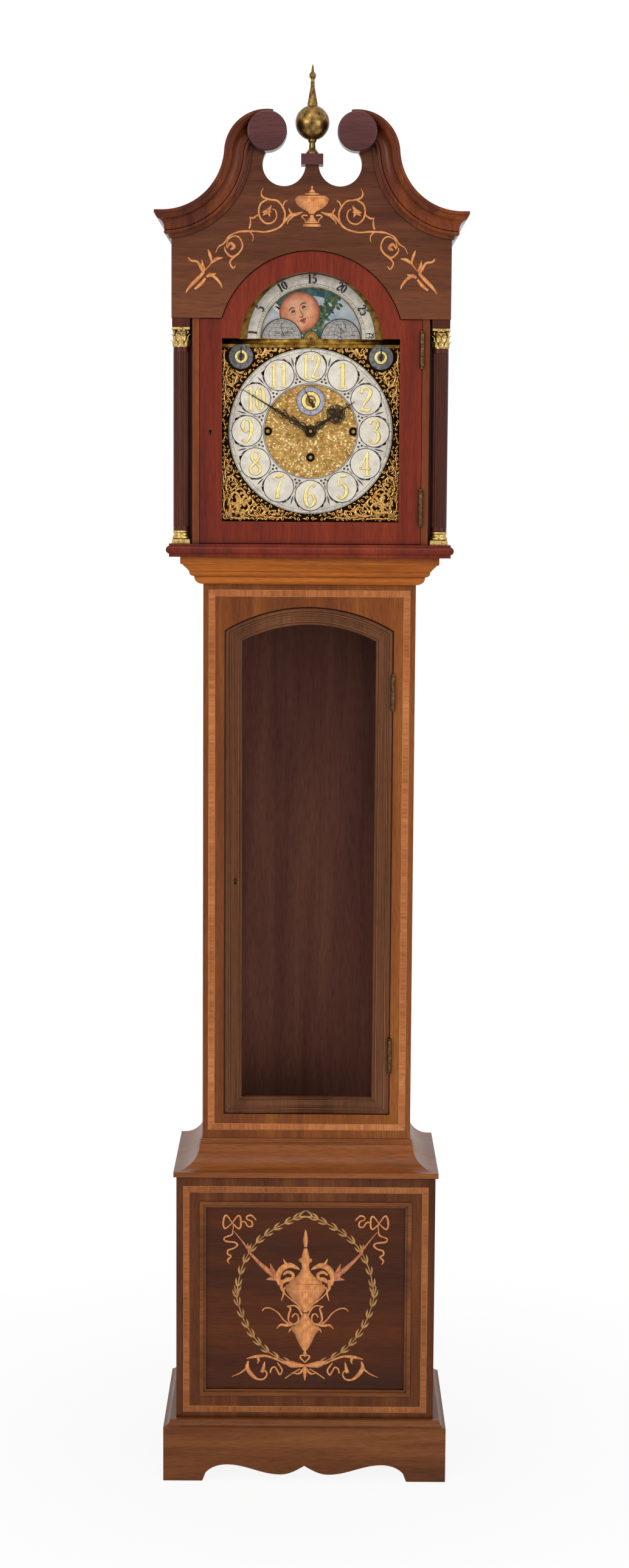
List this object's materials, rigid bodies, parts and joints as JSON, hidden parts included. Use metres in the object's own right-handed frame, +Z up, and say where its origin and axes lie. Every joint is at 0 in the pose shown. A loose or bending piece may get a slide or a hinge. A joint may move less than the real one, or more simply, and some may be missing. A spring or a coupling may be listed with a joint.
{
  "type": "longcase clock",
  "caption": "Longcase clock with an arched moon-phase dial, swan-neck hood on columns, glazed trunk door and inlaid plinth on bracket feet.",
  "frame": {"origin": "centre of the bounding box at floor level, under the feet", "axes": "+Z up, the front faces -Y, +X to the viewer's right"},
  "size_m": [0.526, 0.326, 2.4428],
  "materials": {
    "case_mahogany": "french polished",
    "dark_mahogany": "french polished",
    "hood_mahogany": "french polished",
    "brass": "aged lacquer",
    "gilt_brass": "gilt",
    "silvered_brass": "matt silvered",
    "steel": "satin",
    "blued_steel": "blued",
    "glass": "clear",
    "painted_disc": "painted scene"
  },
  "bodies": {
    "case": {"base_board": "case_mahogany", "base_moulding": "case_mahogany", "plinth_carcase": "case_mahogany", "plinth_front": "case_mahogany", "plinth_panel": "dark_mahogany", "panel_moulding": "case_mahogany", "waist_moulding": "case_mahogany", "trunk_sides": "case_mahogany", "backboard": "dark_mahogany", "trunk_front": "case_mahogany", "throat_moulding": "case_mahogany", "seatboard": "dark_mahogany", "trunk_hinge_leaves": "brass", "weights": "brass", "pendulum": "brass", "dial_plate": "brass", "chapter_ring": "silvered_brass", "silvered_rings": "silvered_brass", "spandrels": "gilt_brass", "movement_frame": "brass", "bell": "brass"},
    "trunk_door": {"trunk_door_frame": "hood_mahogany", "trunk_door_glass": "glass", "trunk_door_hinges": "brass", "trunk_lock": "brass"},
    "trunk_bolt": {"trunk_bolt": "steel"},
    "hood": {"hood_sides": "case_mahogany", "hood_base_moulding": "hood_mahogany", "hood_front": "hood_mahogany", "frieze_board": "case_mahogany", "swan_necks": "hood_mahogany", "side_cornices": "hood_mahogany", "rosettes": "dark_mahogany", "hood_roof": "dark_mahogany", "finial_block": "dark_mahogany", "finial": "brass", "column_shafts": "dark_mahogany", "capitals": "brass", "column_bases": "brass", "hood_hinge_leaves": "brass"},
    "hood_door": {"hood_door_frame": "hood_mahogany", "hood_door_glass": "glass", "hood_door_hinges": "brass", "hood_lock": "brass"},
    "hood_bolt": {"hood_bolt": "steel"},
    "minute": {"centre_arbor": "brass", "minute_hand": "blued_steel"},
    "hour": {"hour_hand": "blued_steel"},
    "minute_wheel": {"minute_wheel": "brass"},
    "third": {"third_arbor": "brass"},
    "escape": {"escape_arbor": "brass", "seconds_hand": "blued_steel"},
    "going_barrel": {"going_barrel": "brass"},
    "strike_barrel": {"strike_barrel": "brass"},
    "chime_barrel": {"chime_barrel": "brass"},
    "pallets": {"pallets": "steel"},
    "moon": {"moon_disc": "painted_disc"},
    "hammer": {"bell_hammer": "steel"},
    "strike_hand": {"strike_dial_hand": "blued_steel"},
    "chime_hand": {"chime_dial_hand": "blued_steel"}
  },
  "joints": [
    {"name": "trunk_door_hinge", "type": "hinge", "parent": "case", "child": "trunk_door", "pos_m": [0.145, -0.08095, 0.752], "axis": [0, 0, 1], "range_deg": [0, 105]},
    {"name": "trunk_bolt_slide", "type": "slide", "parent": "trunk_door", "child": "trunk_bolt", "axis": [-1, 0, 0], "range_m": [0, 0.008]},
    {"name": "hood_slide", "type": "slide", "parent": "case", "child": "hood", "axis": [0, -1, 0], "range_m": [0, 0.3]},
    {"name": "hood_door_hinge", "type": "hinge", "parent": "hood", "child": "hood_door", "pos_m": [0.187, -0.12995, 1.711], "axis": [0, 0, 1], "range_deg": [0, 100]},
    {"name": "hood_bolt_slide", "type": "slide", "parent": "hood_door", "child": "hood_bolt", "axis": [-1, 0, 0], "range_m": [0, 0.008]},
    {"name": "minute_turn", "type": "hinge", "parent": "case", "child": "minute", "pos_m": [0, -0.09, 1.8383], "axis": [0, 1, 0], "continuous": true},
    {"name": "hour_turn", "type": "hinge", "parent": "case", "child": "hour", "pos_m": [0, -0.09, 1.8383], "axis": [0, 1, 0], "continuous": true},
    {"name": "minute_wheel_turn", "type": "hinge", "parent": "case", "child": "minute_wheel", "pos_m": [-0.02546, -0.09, 1.86376], "axis": [0, 1, 0], "continuous": true},
    {"name": "third_turn", "type": "hinge", "parent": "case", "child": "third", "pos_m": [0.0093, -0.09, 1.86556], "axis": [0, 1, 0], "continuous": true},
    {"name": "escape_turn", "type": "hinge", "parent": "case", "child": "escape", "pos_m": [0, -0.09, 1.8893], "axis": [0, 1, 0], "continuous": true},
    {"name": "going_barrel_turn", "type": "hinge", "parent": "case", "child": "going_barrel", "pos_m": [0, -0.09, 1.7943], "axis": [0, 1, 0], "continuous": true},
    {"name": "moon_turn", "type": "hinge", "parent": "case", "child": "moon", "pos_m": [0, -0.09, 1.9938], "axis": [0, 1, 0], "continuous": true},
    {"name": "strike_barrel_turn", "type": "hinge", "parent": "case", "child": "strike_barrel", "pos_m": [-0.073, -0.09, 1.8383], "axis": [0, 1, 0], "continuous": true},
    {"name": "chime_barrel_turn", "type": "hinge", "parent": "case", "child": "chime_barrel", "pos_m": [0.073, -0.09, 1.8383], "axis": [0, 1, 0], "continuous": true},
    {"name": "pallet_rock", "type": "hinge", "parent": "case", "child": "pallets", "pos_m": [0, -0.09, 1.9176], "axis": [0, 1, 0], "range_deg": [-2.5, 2.5]},
    {"name": "hammer_lift", "type": "hinge", "parent": "case", "child": "hammer", "pos_m": [0.062, -0.09, 1.9223], "axis": [0, 1, 0], "range_deg": [0, 12], "stiffness_Nm_per_rad": 0.05},
    {"name": "strike_hand_turn", "type": "hinge", "parent": "case", "child": "strike_hand", "pos_m": [-0.119, -0.09, 1.9633], "axis": [0, 1, 0], "range_deg": [-75, 75]},
    {"name": "chime_hand_turn", "type": "hinge", "parent": "case", "child": "chime_hand", "pos_m": [0.119, -0.09, 1.9633], "axis": [0, 1, 0], "range_deg": [-75, 75]}
  ],
  "couplings": [
    {"joint": "hour_turn", "follows": "minute_turn", "ratio": 0.083333},
    {"joint": "minute_wheel_turn", "follows": "minute_turn", "ratio": -1},
    {"joint": "third_turn", "follows": "minute_turn", "ratio": -8},
    {"joint": "escape_turn", "follows": "minute_turn", "ratio": 60},
    {"joint": "going_barrel_turn", "follows": "minute_turn", "ratio": -0.083333},
    {"joint": "moon_turn", "follows": "minute_turn", "ratio": 0.00070621}
  ]
}
